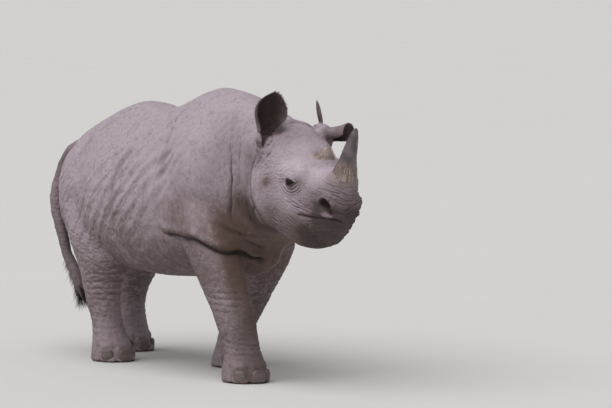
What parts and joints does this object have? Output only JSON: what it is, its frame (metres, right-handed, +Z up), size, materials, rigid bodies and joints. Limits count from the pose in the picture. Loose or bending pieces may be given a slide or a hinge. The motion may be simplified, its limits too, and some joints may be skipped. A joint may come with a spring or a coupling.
{
  "type": "black rhinoceros model",
  "caption": "Life-size still model of a young black rhinoceros in a slow walk, with a short front horn, a stub of rear horn and a torn left ear, standing on flat soles.",
  "frame": {"origin": "on the floor under the centre of the bounding box", "axes": "+Z up; the animal faces -Y and its left side is +X"},
  "size_m": [0.6348, 2.1806, 1.156],
  "materials": {
    "skin": "matt, pebbled grey-violet hide with mud-brown tints low down",
    "horn": "fibrous keratin, grey-brown, paler and frayed at the base",
    "nail": "dull dark keratin",
    "eye": "wet, very dark brown"
  },
  "bodies": {
    "root": {"head": "skin", "neck": "skin", "trunk": "skin", "tail": "skin", "leg_front_right": "skin", "leg_front_left": "skin", "leg_hind_right": "skin", "leg_hind_left": "skin", "ear_right": "skin", "ear_left": "skin", "horn_front": "horn", "horn_rear": "horn", "nail_front_right_outer": "nail", "nail_front_right_middle": "nail", "nail_front_right_inner": "nail", "nail_front_left_outer": "nail", "nail_front_left_middle": "nail", "nail_front_left_inner": "nail", "nail_hind_right_outer": "nail", "nail_hind_right_middle": "nail", "nail_hind_right_inner": "nail", "nail_hind_left_outer": "nail", "nail_hind_left_middle": "nail", "nail_hind_left_inner": "nail", "eye_right": "eye", "eye_left": "eye"}
  },
  "joints": []
}
